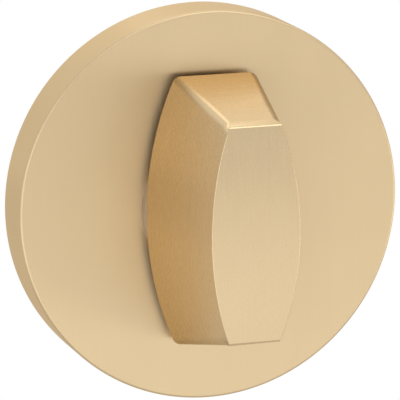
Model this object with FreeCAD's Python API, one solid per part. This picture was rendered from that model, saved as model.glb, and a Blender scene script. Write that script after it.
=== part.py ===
import FreeCAD, Part
import math
import os

# A bathroom thumb turn: a faceted knob on a round rose, fixed to the inside of a door.
# All lengths are millimetres. Z is up and Y runs into the door, so the knob turns about
# the Y axis. The origin is the centre of the back of the rose, where it meets the door.

V = FreeCAD.Vector
TURN_AXIS = V(0, 1, 0)
ORIGIN = V(0, 0, 0)

# Rose cover, the brass cup that shows
ROSE_MARGIN = 2.0
ROSE_DEPTH = 7.3
COVER_FRONT_WALL = 1.6
COVER_RIM_WALL = 1.5
COVER_EDGE_ROUND = 0.35
COVER_INNER_CHAMFER = 0.4
SNAP_GROOVE_DEPTH = 0.45
SNAP_GROOVE_WIDTH = 1.2
SNAP_GROOVE_FROM_DOOR = 1.3
PRY_NOTCH_WIDTH = 6.0
PRY_NOTCH_DEPTH = 0.8
PRY_NOTCH_ROUND = 0.35

# Knob, a barrel outline that tapers towards the fingers
KNOB_GAP = 1.4
KNOB_HEIGHT = 16.7
KNOB_BASE_LENGTH = 35.9
KNOB_BASE_WAIST = 18.8
KNOB_BASE_END = 11.2
KNOB_FACE_LENGTH = 28.45
KNOB_FACE_WAIST = 11.9
KNOB_FACE_END = 6.95
KNOB_CORNER_ROUND = 1.2
KNOB_FACE_ROUND = 0.35
KNOB_BASE_ROUND = 0.25

# Shank pressed into the knob
SHANK_DIAMETER = 12.0
SHANK_SPIGOT_DIAMETER = 9.0
SHANK_SPIGOT_LENGTH = 9.0
SHANK_PAST_DOOR = 0.6
SHANK_FLATS = 10.0
SHANK_CHAMFER = 0.4

# Nylon bush that the shank turns in
BUSH_FLANGE_DIAMETER = 19.0
BUSH_FLANGE_GAP = 0.1
BUSH_WALL = 1.35
BUSH_EDGE_CHAMFER = 0.25
BUSH_RUNNING_GAP = 0.05
BUSH_SEAT_GAP = 0.08

# Under-rose, the casting below the cover
UNDER_FIT_GAP = 0.2
UNDER_WEB = 2.0
UNDER_RIM_WALL = 1.8
UNDER_EDGE_CHAMFER_GAP = 0.2
HUB_WALL = 1.6
RECESS_DIAMETER = 27.0
RIB_WALL = 1.3
POCKET_ROUND = 0.6
LUG_DIAMETER = 8.0
LUG_LENGTH = 6.0
LUG_CHAMFER = 0.6
LUG_BOSS_DIAMETER = 10.0
BOLT_SPACING = 38.0
BOLT_HOLE_DIAMETER = 4.3
BOLT_HEAD_DIAMETER = 8.2
SCREW_BOSS_DIAMETER = 8.8

# Wood screws
SCREW_DIAMETER = 3.5
SCREW_CORE_DIAMETER = 2.4
SCREW_HEAD_DIAMETER = 6.8
SCREW_HEAD_LAND = 0.3
SCREW_LENGTH = 16.0
SCREW_PLAIN_LENGTH = 5.0
SCREW_POINT_LENGTH = 3.0
SCREW_HOLE_GAP = 0.15
SCREW_SEAT_GAP = 0.03
RECESS_SLOT_WIDTH = 0.9
RECESS_SLOT_DEPTH = 1.5
RECESS_SLOT_SPAN = 3.6

# Spring clips that hold the cover
CLIP_COUNT = 4
CLIP_FIRST_ANGLE = 45.0
CLIP_WIDTH = 5.0
CLIP_THICKNESS = 0.4
CLIP_REACH = 3.45
CLIP_BEND_RADIUS = 0.85
CLIP_END_GAP = 0.1
CLIP_SIDE_GAP = 0.2
CLIP_GROOVE_GAP = 0.1
CLIP_TAIL_DROP = 1.3
CLIP_TAIL_LENGTH = 1.0
CLIP_NOSE_ROUND = 0.3
CLIP_BOSS_WALL = 1.5

# Washers, stop plate and circlip behind the casting's web
WAVE_HEIGHT = 0.7
WAVE_STRIP = 0.25
WAVE_COUNT = 3
WAVE_DIAMETER = 18.4
WAVE_END_GAP = 0.03
WASHER_THICKNESS = 0.5
WASHER_DIAMETER = 19.2
WASHER_BORE_GAP = 0.15
STOP_THICKNESS = 0.8
STOP_DIAMETER = 20.0
STOP_EAR_ANGLE = 24.0
STOP_EAR_GAP = 0.4
STOP_FIT_GAP = 0.05
STOP_BLOCK_GAP = 0.4
STOP_BLOCK_SETBACK = 0.6
STOP_PLAY_ANGLE = 1.0
TURN_ANGLE = 90.0
CIRCLIP_THICKNESS = 1.0
CIRCLIP_GROOVE_DEPTH = 0.25
CIRCLIP_GROOVE_PLAY = 0.1
CIRCLIP_BAND = 1.9
CIRCLIP_TAPER = 0.35
CIRCLIP_EAR_RADIUS = 1.5
CIRCLIP_EAR_STANDOFF = 1.4
CIRCLIP_EAR_ANGLE = 20.0
CIRCLIP_EAR_HOLE = 1.6
CIRCLIP_MOUTH_ANGLE = 16.0

# Spindle, its grub screw and its sleeve
SPINDLE_SIDE = 5.0
SPINDLE_PAST_DOOR = 55.0
SPINDLE_CHAMFER = 0.8
SPINDLE_CORNER_BREAK = 0.15
SOCKET_GAP = 0.04
SOCKET_DEPTH = 12.6
GRUB_DIAMETER = 3.0
GRUB_GAP = 0.05
GRUB_SETBACK = 0.3
GRUB_FROM_KNOB = 2.5
GRUB_KEY_ACROSS = 1.5
GRUB_KEY_DEPTH = 1.4
SLEEVE_SIDE = 8.0
SLEEVE_GAP = 0.05
SLEEVE_LENGTH = 20.0
SLEEVE_FROM_DOOR = 14.0
SLEEVE_SLIT = 0.8
SLEEVE_CHAMFER = 0.4

# Places along the turning axis, worked out from the sizes above
DOOR_FACE = 0.0
cover_front = DOOR_FACE - ROSE_DEPTH
under_front = cover_front + COVER_FRONT_WALL
web_back = under_front + UNDER_WEB
knob_base = cover_front - KNOB_GAP
knob_face = knob_base - KNOB_HEIGHT
bush_front = knob_base + BUSH_FLANGE_GAP
shank_end = DOOR_FACE + SHANK_PAST_DOOR
socket_floor = shank_end - SOCKET_DEPTH
washer_front = web_back + WAVE_HEIGHT
stop_front = washer_front + WASHER_THICKNESS
circlip_front = stop_front + STOP_THICKNESS
circlip_groove_end = circlip_front + CIRCLIP_THICKNESS + CIRCLIP_GROOVE_PLAY
groove_back = DOOR_FACE - SNAP_GROOVE_FROM_DOOR
groove_front = groove_back - SNAP_GROOVE_WIDTH

# Radii worked out from the sizes above; the rose covers its bolts by a margin
rose_radius = (BOLT_SPACING + LUG_BOSS_DIAMETER) / 2 + ROSE_MARGIN
cover_bore = rose_radius - COVER_RIM_WALL
groove_radius = cover_bore + SNAP_GROOVE_DEPTH
under_radius = cover_bore - UNDER_FIT_GAP
recess_radius = RECESS_DIAMETER / 2
hub_radius = recess_radius + HUB_WALL
pocket_radius = under_radius - UNDER_RIM_WALL
screw_circle = (hub_radius + pocket_radius) / 2
clip_seat = groove_radius - CLIP_REACH
shank_radius = SHANK_DIAMETER / 2
bush_bore = shank_radius + BUSH_RUNNING_GAP
bush_radius = bush_bore + BUSH_WALL
bush_hole = bush_radius + BUSH_SEAT_GAP
washer_bore = shank_radius + WASHER_BORE_GAP
stop_radius = STOP_DIAMETER / 2
ear_radius = recess_radius - STOP_EAR_GAP
spindle_socket = SPINDLE_SIDE + 2 * SOCKET_GAP


def rod(radius, start, end, x=0.0, z=0.0):
    """Cylinder along the turning axis between two depths."""
    return Part.makeCylinder(radius, end - start, V(x, start, z), TURN_AXIS)


def tube(outer, inner, start, end):
    """Ring along the turning axis."""
    return rod(outer, start, end).cut(rod(inner, start, end))


def turned(profile):
    """Solid turned about the Y axis from (radius, depth) corners."""
    corners = [V(radius, depth, 0) for radius, depth in profile]
    face = Part.Face(Part.makePolygon(corners + corners[:1]))
    return face.revolve(ORIGIN, TURN_AXIS, 360)


def square_bar(side, start, end):
    """Square bar along the turning axis."""
    return Part.makeBox(side, end - start, side, V(-side / 2, start, -side / 2))


def wedge(radius, middle, width, start, end):
    """Slice of a disc, centred on an angle seen from the front."""
    slice_solid = Part.makeCylinder(radius, end - start, V(0, start, 0), TURN_AXIS, width)
    slice_solid = spun(slice_solid, -slice_middle(slice_solid))
    return spun(slice_solid, middle)


def slice_middle(slice_solid):
    """Angle of a slice's centre, counted from +X towards +Z."""
    centre = slice_solid.CenterOfMass
    return math.degrees(math.atan2(centre.z, centre.x))


def spun(shape, angle):
    """Copy turned by an angle from +X towards +Z."""
    copy = shape.copy()
    copy.rotate(ORIGIN, TURN_AXIS, -angle)
    return copy


def round_edges(shape, radius, wanted):
    """Round the edges that a test picks out."""
    edges = [edge for edge in shape.Edges if wanted(edge)]
    return shape.makeFillet(radius, edges)


def chamfer_edges(shape, size, wanted):
    """Chamfer the edges that a test picks out."""
    edges = [edge for edge in shape.Edges if wanted(edge)]
    return shape.makeChamfer(size, edges)


def lies_at_depth(edge, depth):
    """True if an edge lies in the plane at this depth."""
    box = edge.BoundBox
    return abs(box.YMin - depth) < 1e-4 and abs(box.YMax - depth) < 1e-4


def runs_along_axis(edge):
    """True if an edge is a straight line along the turning axis."""
    box = edge.BoundBox
    return box.YLength > 1e-3 and box.XLength < 1e-4 and box.ZLength < 1e-4


def make_rose_cover():
    """Turned cup with a rounded front edge, a hole for the bush and a snap groove."""
    cup = rod(rose_radius, cover_front, DOOR_FACE)
    cup = round_edges(cup, COVER_EDGE_ROUND, lambda edge: lies_at_depth(edge, cover_front))
    hollow = rod(cover_bore, under_front, DOOR_FACE)
    hollow = chamfer_edges(hollow, COVER_INNER_CHAMFER, lambda edge: lies_at_depth(edge, under_front))
    cup = cup.cut(hollow)
    cup = cup.cut(tube(groove_radius, cover_bore - COVER_RIM_WALL, groove_front, groove_back))
    cup = cup.cut(rod(bush_hole, cover_front, under_front))
    return cup.cut(make_pry_notch())


def make_pry_notch():
    """Cutter for the screwdriver notch at the bottom of the cover's rim."""
    start = DOOR_FACE - PRY_NOTCH_DEPTH
    depth = PRY_NOTCH_DEPTH + COVER_RIM_WALL
    height = 4 * COVER_RIM_WALL
    corner = V(-PRY_NOTCH_WIDTH / 2, start, -rose_radius - height / 2)
    notch = Part.makeBox(PRY_NOTCH_WIDTH, depth, height, corner)

    def front_corner(edge):
        box = edge.BoundBox
        return lies_at_depth(edge, start) and box.ZLength > height / 2
    return round_edges(notch, PRY_NOTCH_ROUND, front_corner)


def barrel_outline(length, waist, end, depth):
    """Outline with two straight ends and two bowed sides, at one depth."""
    top_left = V(-end / 2, depth, length / 2)
    top_right = V(end / 2, depth, length / 2)
    low_right = V(end / 2, depth, -length / 2)
    low_left = V(-end / 2, depth, -length / 2)
    right_side = Part.Arc(top_right, V(waist / 2, depth, 0), low_right)
    left_side = Part.Arc(low_left, V(-waist / 2, depth, 0), top_left)
    return Part.Wire([
        Part.LineSegment(top_left, top_right).toShape(),
        right_side.toShape(),
        Part.LineSegment(low_right, low_left).toShape(),
        left_side.toShape(),
    ])


def make_turn_knob():
    """Tapered barrel-shaped grip with soft corners and a bore for its shank."""
    base = barrel_outline(KNOB_BASE_LENGTH, KNOB_BASE_WAIST, KNOB_BASE_END, knob_base)
    face = barrel_outline(KNOB_FACE_LENGTH, KNOB_FACE_WAIST, KNOB_FACE_END, knob_face)
    knob = Part.makeLoft([base, face], True, True)

    def corner(edge):
        return edge.BoundBox.YLength > KNOB_HEIGHT / 2
    knob = round_edges(knob, KNOB_CORNER_ROUND, corner)
    knob = round_edges(knob, KNOB_FACE_ROUND, lambda edge: lies_at_depth(edge, knob_face))
    knob = round_edges(knob, KNOB_BASE_ROUND, lambda edge: lies_at_depth(edge, knob_base))
    bore = rod(SHANK_SPIGOT_DIAMETER / 2, knob_base - SHANK_SPIGOT_LENGTH, knob_base)
    return knob.cut(bore)


def make_knob_shank():
    """Turned shank: spigot, journal, circlip groove, two flats, socket, grub screw hole."""
    spigot = SHANK_SPIGOT_DIAMETER / 2
    spigot_end = knob_base - SHANK_SPIGOT_LENGTH
    groove = shank_radius - CIRCLIP_GROOVE_DEPTH
    shank = turned([
        (0, spigot_end),
        (spigot - SHANK_CHAMFER, spigot_end),
        (spigot, spigot_end + SHANK_CHAMFER),
        (spigot, knob_base),
        (shank_radius, knob_base),
        (shank_radius, circlip_front),
        (groove, circlip_front),
        (groove, circlip_groove_end),
        (shank_radius, circlip_groove_end),
        (shank_radius, shank_end - SHANK_CHAMFER),
        (shank_radius - SHANK_CHAMFER, shank_end),
        (0, shank_end),
    ])
    shank = shank.cut(make_flats_cutter())
    shank = shank.cut(square_bar(spindle_socket, socket_floor, shank_end))
    return shank.cut(rod_upwards(GRUB_DIAMETER / 2, 0, SHANK_DIAMETER))


def make_flats_cutter():
    """Cutter for the two flats that carry the stop plate."""
    length = shank_end - stop_front
    around = rod(SHANK_DIAMETER, stop_front, shank_end)
    core = Part.makeBox(2 * SHANK_DIAMETER, length, SHANK_FLATS,
                        V(-SHANK_DIAMETER, stop_front, -SHANK_FLATS / 2))
    return around.cut(core)


def rod_upwards(radius, low, high):
    """Upright cylinder at the grub screw's place in the shank."""
    return Part.makeCylinder(radius, high - low, V(0, knob_base + GRUB_FROM_KNOB, low), V(0, 0, 1))


def make_neck_bush():
    """Nylon bush with a flange between the cover and the knob."""
    flange = BUSH_FLANGE_DIAMETER / 2
    bush = turned([
        (bush_bore, bush_front),
        (flange, bush_front),
        (flange, cover_front),
        (bush_radius, cover_front),
        (bush_radius, web_back),
        (bush_bore, web_back),
    ])

    def outer_rim(edge):
        return lies_at_depth(edge, bush_front) and edge.BoundBox.XLength > BUSH_FLANGE_DIAMETER - 1e-3
    return chamfer_edges(bush, BUSH_EDGE_CHAMFER, outer_rim)


def make_under_rose():
    """Die-cast plate: web, ribs, lugs, screw seats, clip pockets and quarter-turn stops."""
    plate = rod(under_radius, under_front, DOOR_FACE)
    edge_chamfer = COVER_INNER_CHAMFER + UNDER_EDGE_CHAMFER_GAP
    plate = chamfer_edges(plate, edge_chamfer, lambda edge: lies_at_depth(edge, under_front))
    plate = plate.cut(make_recess_cutter())
    plate = plate.cut(rod(bush_hole, under_front, web_back))
    for pocket in make_pocket_cutters():
        plate = plate.cut(pocket)
    for x in bolt_places():
        lug = rod(LUG_DIAMETER / 2, web_back, LUG_LENGTH, x)
        lug = chamfer_edges(lug, LUG_CHAMFER, lambda edge: lies_at_depth(edge, LUG_LENGTH))
        plate = plate.fuse(lug)
        plate = plate.cut(rod(BOLT_HOLE_DIAMETER / 2, under_front, LUG_LENGTH, x))
        plate = plate.cut(countersink(BOLT_HEAD_DIAMETER, BOLT_HOLE_DIAMETER, x, 0))
    screw_hole = SCREW_DIAMETER + 2 * SCREW_HOLE_GAP
    for z in screw_places():
        plate = plate.cut(rod(screw_hole / 2, under_front, DOOR_FACE, 0, z))
        seat = SCREW_HEAD_DIAMETER + 2 * SCREW_SEAT_GAP
        plate = plate.cut(countersink(seat, screw_hole, 0, z, SCREW_HEAD_LAND))
    for angle in clip_angles():
        plate = plate.cut(spun(make_clip_pocket(), angle))
    return plate.removeSplitter()


def bolt_places():
    """Sideways places of the two bolt holes."""
    return [-BOLT_SPACING / 2, BOLT_SPACING / 2]


def screw_places():
    """Heights of the two wood screws."""
    return [-screw_circle, screw_circle]


def clip_angles():
    """Angles of the spring clips around the rose."""
    return [CLIP_FIRST_ANGLE + 360.0 / CLIP_COUNT * number for number in range(CLIP_COUNT)]


def countersink(head_diameter, hole_diameter, x, z, land=0.0):
    """Cutter for a 90 degree countersink in the casting's front, with a straight land."""
    sink = (head_diameter - hole_diameter) / 2
    cone = Part.makeCone(head_diameter / 2, hole_diameter / 2, sink,
                         V(x, under_front + land, z), TURN_AXIS)
    if land > 0:
        cone = cone.fuse(rod(head_diameter / 2, under_front, under_front + land, x, z))
    return cone


def make_recess_cutter():
    """Cutter for the round recess, less the two cast stops that end the quarter turn."""
    recess = rod(recess_radius, web_back, DOOR_FACE)
    stop_back = DOOR_FACE - STOP_BLOCK_SETBACK
    window = TURN_ANGLE + STOP_EAR_ANGLE + 2 * STOP_PLAY_ANGLE
    block_width = 180.0 - window
    for middle in (0.0, 180.0):
        block = wedge(recess_radius, middle, block_width, web_back, stop_back)
        block = block.cut(rod(stop_radius + STOP_BLOCK_GAP, web_back, stop_back))
        recess = recess.cut(block)
    return recess


def make_pocket_cutters():
    """Rounded pockets between the hub, the rim, the bosses and the ribs."""
    pockets = tube(pocket_radius, hub_radius, web_back, DOOR_FACE)
    for x in bolt_places():
        pockets = pockets.cut(rod(LUG_BOSS_DIAMETER / 2, web_back, DOOR_FACE, x))
    for z in screw_places():
        pockets = pockets.cut(rod(SCREW_BOSS_DIAMETER / 2, web_back, DOOR_FACE, 0, z))
    boss_width = CLIP_WIDTH + 2 * (CLIP_SIDE_GAP + CLIP_BOSS_WALL)
    boss_start = clip_seat - CLIP_BOSS_WALL
    depth = DOOR_FACE - web_back
    rib = Part.makeBox(rose_radius, depth, RIB_WALL, V(0, web_back, -RIB_WALL / 2))
    boss = Part.makeBox(rose_radius, depth, boss_width, V(boss_start, web_back, -boss_width / 2))
    for angle in clip_angles():
        pockets = pockets.cut(spun(rib, angle))
        pockets = pockets.cut(spun(boss, angle))
    return [round_edges(pocket, POCKET_ROUND, runs_along_axis) for pocket in pockets.Solids]


def make_clip_pocket():
    """Cutter for one clip's slot in the rim, on the +X side."""
    width = CLIP_WIDTH + 2 * CLIP_SIDE_GAP
    return Part.makeBox(rose_radius, DOOR_FACE - web_back, width, V(clip_seat, web_back, -width / 2))


def make_cover_clip():
    """Bent strip on the +X side: seated leg, return bend, and a nose in the snap groove."""
    half_strip = CLIP_THICKNESS / 2
    seated = clip_seat + half_strip
    bend_top = DOOR_FACE - CLIP_END_GAP - half_strip
    bend_start = bend_top - CLIP_BEND_RADIUS
    free_leg = seated + 2 * CLIP_BEND_RADIUS
    nose_corner = groove_radius - CLIP_GROOVE_GAP
    nose = math.sqrt(nose_corner ** 2 - (CLIP_WIDTH / 2) ** 2) - half_strip
    nose_depth = (groove_front + groove_back) / 2
    tail = V(nose - CLIP_TAIL_DROP, nose_depth - CLIP_TAIL_LENGTH, 0)
    seat_end = V(seated, web_back, 0)
    seat_top = V(seated, bend_start, 0)
    bend_middle = V(seated + CLIP_BEND_RADIUS, bend_top, 0)
    free_top = V(free_leg, bend_start, 0)
    nose_point = V(nose, nose_depth, 0)
    before, after, nose_arc = rounded_corner(free_top, nose_point, tail, CLIP_NOSE_ROUND)
    path = Part.Wire([
        Part.LineSegment(seat_end, seat_top).toShape(),
        Part.Arc(seat_top, bend_middle, free_top).toShape(),
        Part.LineSegment(free_top, before).toShape(),
        nose_arc.toShape(),
        Part.LineSegment(after, tail).toShape(),
    ])
    section = Part.makePolygon([
        V(seated - half_strip, web_back, -CLIP_WIDTH / 2),
        V(seated + half_strip, web_back, -CLIP_WIDTH / 2),
        V(seated + half_strip, web_back, CLIP_WIDTH / 2),
        V(seated - half_strip, web_back, CLIP_WIDTH / 2),
        V(seated - half_strip, web_back, -CLIP_WIDTH / 2),
    ])
    return path.makePipeShell([section], True, False, 2)


def rounded_corner(start, corner, end, radius):
    """Tangent points and arc that round a corner between two straight runs."""
    back = (start - corner).normalize()
    ahead = (end - corner).normalize()
    half_angle = back.getAngle(ahead) / 2
    reach = radius / math.tan(half_angle)
    before = corner + back * reach
    after = corner + ahead * reach
    middle_way = (back + ahead).normalize()
    centre = corner + middle_way * (radius / math.sin(half_angle))
    return before, after, Part.Arc(before, centre - middle_way * radius, after)


def make_wood_screw(z):
    """Countersunk wood screw with its cross recess, point towards the door."""
    head = SCREW_HEAD_DIAMETER / 2
    shank = SCREW_DIAMETER / 2
    core = SCREW_CORE_DIAMETER / 2
    head_end = under_front + SCREW_HEAD_LAND + head - shank
    plain_end = head_end + SCREW_PLAIN_LENGTH
    tip = under_front + SCREW_LENGTH
    screw = turned([
        (0, under_front),
        (head, under_front),
        (head, under_front + SCREW_HEAD_LAND),
        (shank, head_end),
        (shank, plain_end),
        (core, plain_end + shank - core),
        (core, tip - SCREW_POINT_LENGTH),
        (0, tip),
    ])
    for span_x, span_z in ((RECESS_SLOT_SPAN, RECESS_SLOT_WIDTH), (RECESS_SLOT_WIDTH, RECESS_SLOT_SPAN)):
        corner = V(-span_x / 2, under_front, -span_z / 2)
        screw = screw.cut(Part.makeBox(span_x, RECESS_SLOT_DEPTH, span_z, corner))
    screw.translate(V(0, 0, z))
    return screw


def make_wood_screws():
    """Both screws, as one group."""
    return Part.Compound([make_wood_screw(z) for z in screw_places()])


def wave_ring(radius, offset):
    """Closed wavy edge at one radius, pushed along the axis by an offset."""
    swing = (WAVE_HEIGHT - WAVE_STRIP) / 2 - WAVE_END_GAP
    middle = web_back + WAVE_HEIGHT / 2
    steps = WAVE_COUNT * 8
    points = []
    for step in range(steps):
        angle = 2 * math.pi * step / steps
        depth = middle + offset + swing * math.cos(WAVE_COUNT * angle)
        points.append(V(radius * math.cos(angle), depth, radius * math.sin(angle)))
    curve = Part.BSplineCurve()
    curve.interpolate(points, PeriodicFlag=True)
    return curve.toShape()


def make_wave_washer():
    """Spring washer of one wavy strip."""
    inner = washer_bore
    outer = WAVE_DIAMETER / 2
    half_strip = WAVE_STRIP / 2
    front_inner = wave_ring(inner, -half_strip)
    front_outer = wave_ring(outer, -half_strip)
    back_inner = wave_ring(inner, half_strip)
    back_outer = wave_ring(outer, half_strip)
    skin = Part.makeShell([
        Part.makeRuledSurface(front_inner, front_outer),
        Part.makeRuledSurface(back_inner, back_outer),
        Part.makeRuledSurface(front_inner, back_inner),
        Part.makeRuledSurface(front_outer, back_outer),
    ])
    return Part.makeSolid(skin)


def make_thrust_washer():
    """Flat washer between the wave washer and the stop plate."""
    return tube(WASHER_DIAMETER / 2, washer_bore, washer_front, stop_front)


def make_stop_plate():
    """Plate on the shank's flats with two ears that run between the cast stops."""
    plate = rod(stop_radius, stop_front, circlip_front)
    first_ear = 90.0 + TURN_ANGLE / 2
    for middle in (first_ear, first_ear + 180.0):
        plate = plate.fuse(wedge(ear_radius, middle, STOP_EAR_ANGLE, stop_front, circlip_front))
    plate = plate.removeSplitter()
    across = SHANK_FLATS + 2 * STOP_FIT_GAP
    hole = rod(shank_radius + STOP_FIT_GAP, stop_front, circlip_front)
    corner = V(-SHANK_DIAMETER, stop_front, -across / 2)
    slab = Part.makeBox(SHANK_DIAMETER * 2, STOP_THICKNESS, across, corner)
    return plate.cut(hole.common(slab))


def make_circlip():
    """External retaining ring with two pierced ears, its mouth upwards."""
    seat = shank_radius - CIRCLIP_GROOVE_DEPTH
    end = circlip_front + CIRCLIP_THICKNESS
    band_radius = seat + CIRCLIP_BAND - CIRCLIP_TAPER
    ring = rod(band_radius, circlip_front, end, 0, -CIRCLIP_TAPER)
    reach = shank_radius + CIRCLIP_EAR_STANDOFF
    aside = reach * math.sin(math.radians(CIRCLIP_EAR_ANGLE))
    above = reach * math.cos(math.radians(CIRCLIP_EAR_ANGLE))
    for x in (-aside, aside):
        ring = ring.fuse(rod(CIRCLIP_EAR_RADIUS, circlip_front, end, x, above))
    ring = ring.cut(rod(seat, circlip_front, end))
    ring = ring.cut(wedge(2 * shank_radius, 90.0, CIRCLIP_MOUTH_ANGLE, circlip_front, end))
    for x in (-aside, aside):
        ring = ring.cut(rod(CIRCLIP_EAR_HOLE / 2, circlip_front, end, x, above))
    return ring.removeSplitter()


def make_spindle():
    """Square bar with its corners and both ends turned down a little."""
    end = DOOR_FACE + SPINDLE_PAST_DOOR
    corner_radius = SPINDLE_SIDE / math.sqrt(2) - SPINDLE_CORNER_BREAK
    end_radius = corner_radius - SPINDLE_CHAMFER
    envelope = turned([
        (0, socket_floor),
        (end_radius, socket_floor),
        (corner_radius, socket_floor + SPINDLE_CHAMFER),
        (corner_radius, end - SPINDLE_CHAMFER),
        (end_radius, end),
        (0, end),
    ])
    return square_bar(SPINDLE_SIDE, socket_floor, end).common(envelope)


def make_grub_screw():
    """Headless screw with a hexagon socket, pressing on the spindle's top."""
    low = SPINDLE_SIDE / 2
    high = shank_radius - GRUB_SETBACK
    screw = rod_upwards(GRUB_DIAMETER / 2 - GRUB_GAP, low, high)
    depth = knob_base + GRUB_FROM_KNOB
    corner_radius = GRUB_KEY_ACROSS / math.sqrt(3)
    corners = []
    for number in range(6):
        angle = math.radians(60 * number)
        corners.append(V(corner_radius * math.cos(angle), depth + corner_radius * math.sin(angle), high))
    key = Part.Face(Part.makePolygon(corners + corners[:1])).extrude(V(0, 0, -GRUB_KEY_DEPTH))
    return screw.cut(key)


def make_spindle_sleeve():
    """Split square tube that brings the spindle up to the larger follower size."""
    start = DOOR_FACE + SLEEVE_FROM_DOOR
    end = start + SLEEVE_LENGTH
    sleeve = square_bar(SLEEVE_SIDE, start, end)
    sleeve = round_edges(sleeve, SLEEVE_CHAMFER, runs_along_axis)
    sleeve = sleeve.cut(square_bar(SPINDLE_SIDE + 2 * SLEEVE_GAP, start, end))
    slit = Part.makeBox(SLEEVE_SLIT, SLEEVE_LENGTH, SLEEVE_SIDE, V(-SLEEVE_SLIT / 2, start, -SLEEVE_SIDE))
    return sleeve.cut(slit)


def save(shape, name):
    """Write one sub-part as a STEP file."""
    shape.exportStep(os.path.join("parts", name + ".step"))
    print(name, "solids", len(shape.Solids), "valid", shape.isValid(), "volume", round(shape.Volume, 3))


def main():
    """Build and save every sub-part."""
    os.makedirs("parts", exist_ok=True)
    save(make_rose_cover(), "rose_cover")
    save(make_under_rose(), "under_rose")
    save(make_neck_bush(), "neck_bush")
    for number, angle in enumerate(clip_angles(), start=1):
        save(spun(make_cover_clip(), angle), f"cover_clip_{number}")
    save(make_wood_screws(), "wood_screws")
    save(make_wave_washer(), "wave_washer")
    save(make_turn_knob(), "turn_knob")
    save(make_knob_shank(), "knob_shank")
    save(make_thrust_washer(), "thrust_washer")
    save(make_stop_plate(), "stop_plate")
    save(make_circlip(), "circlip")
    save(make_spindle(), "spindle")
    save(make_grub_screw(), "spindle_grub_screw")
    save(make_spindle_sleeve(), "spindle_sleeve")


main()
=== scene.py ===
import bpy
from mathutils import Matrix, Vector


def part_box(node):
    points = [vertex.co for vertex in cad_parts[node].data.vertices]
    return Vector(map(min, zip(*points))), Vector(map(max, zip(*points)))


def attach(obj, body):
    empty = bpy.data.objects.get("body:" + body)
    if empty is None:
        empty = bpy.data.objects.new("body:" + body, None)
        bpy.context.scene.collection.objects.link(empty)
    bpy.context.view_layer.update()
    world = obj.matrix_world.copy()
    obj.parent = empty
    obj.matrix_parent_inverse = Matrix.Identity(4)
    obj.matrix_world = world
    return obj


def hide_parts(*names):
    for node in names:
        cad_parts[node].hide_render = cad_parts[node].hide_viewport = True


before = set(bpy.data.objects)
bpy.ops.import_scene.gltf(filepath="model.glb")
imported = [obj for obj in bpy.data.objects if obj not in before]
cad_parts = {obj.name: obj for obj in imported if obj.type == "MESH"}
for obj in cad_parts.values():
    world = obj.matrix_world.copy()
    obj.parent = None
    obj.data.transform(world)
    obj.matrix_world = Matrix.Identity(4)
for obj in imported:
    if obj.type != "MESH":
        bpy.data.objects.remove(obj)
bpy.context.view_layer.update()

import bmesh
import bpy
import math
from bpy.props import FloatProperty, FloatVectorProperty, IntProperty, PointerProperty
from mathutils import Vector

bl_info = {
    "name": "Bathroom thumb turn",
    "version": (1, 0, 0),
    "blender": (4, 5, 0),
    "location": "3D View > Sidebar > Thumb turn",
    "description": "Models a bathroom thumb turn, its rose and its fixings, with their finishes",
    "category": "Object",
}

# Everything is in metres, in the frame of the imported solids: Z is up, Y runs into the door,
# and the knob turns about the Y axis.
MM = 0.001
TURN_AXIS_LYING = (math.pi / 2, 0.0, 0.0)
# Faces that meet at less than this are shaded as one smooth surface.
SMOOTH_ANGLE = math.radians(32)
# Most of a grain's values lie between these.
GRAIN_LOW, GRAIN_HIGH = 0.3, 0.7
# The Mix node's sockets by number, because several have the same name
SHARE, FLOAT_A, FLOAT_B, VECTOR_A, VECTOR_B, COLOUR_A, COLOUR_B = 0, 2, 3, 4, 5, 6, 7
FLOAT_OUT, VECTOR_OUT, COLOUR_OUT = 0, 1, 2
WHITE = (1.0, 1.0, 1.0, 1.0)
LAMP_DISTANCE = 0.8
# Each lamp's turn and height in degrees, its side in metres and its power in watts
LAMPS = {
    "front_low": (18.0, -26.0, 0.33, 0.055),
    "front": (18.0, -20.0, 0.33, 0.09),
    "front_right": (62.0, -12.0, 0.33, 0.76),
    "front_left": (-14.0, -20.0, 0.33, 0.3),
    "left_high": (-44.0, 10.0, 0.33, 0.57),
    "left": (-41.0, -9.0, 0.33, 0.33),
    "left_low": (-32.0, -27.0, 0.33, 0.34),
    "top_front": (25.0, 45.0, 0.55, 1.6),
    "top_back": (157.0, 60.0, 0.6, 0.95),
    "top_back_left": (-160.0, 44.0, 0.65, 0.55),
    "back_left": (-158.0, 6.0, 0.33, 0.089),
}
cover_low, cover_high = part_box("rose_cover")
knob_low, knob_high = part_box("turn_knob")
bush_low, bush_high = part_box("neck_bush")
screw_low, screw_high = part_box("wood_screws")


def to_linear(hex_colour):
    """Linear red, green, blue and alpha of an sRGB hex colour."""
    channels = [int(hex_colour[start:start + 2], 16) / 255 for start in (1, 3, 5)]
    linear = [c / 12.92 if c <= 0.04045 else ((c + 0.055) / 1.055) ** 2.4 for c in channels]
    return (*linear, 1.0)


def length_value(name, description, default):
    """A length that a user may change."""
    return FloatProperty(name=name, description=description, default=default, min=0.0,
                         unit="LENGTH", precision=5)


def colour_value(name, description, hex_colour):
    """A colour that a user may change."""
    return FloatVectorProperty(name=name, description=description, default=to_linear(hex_colour),
                               size=4, min=0.0, max=1.0, subtype="COLOR")


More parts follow.
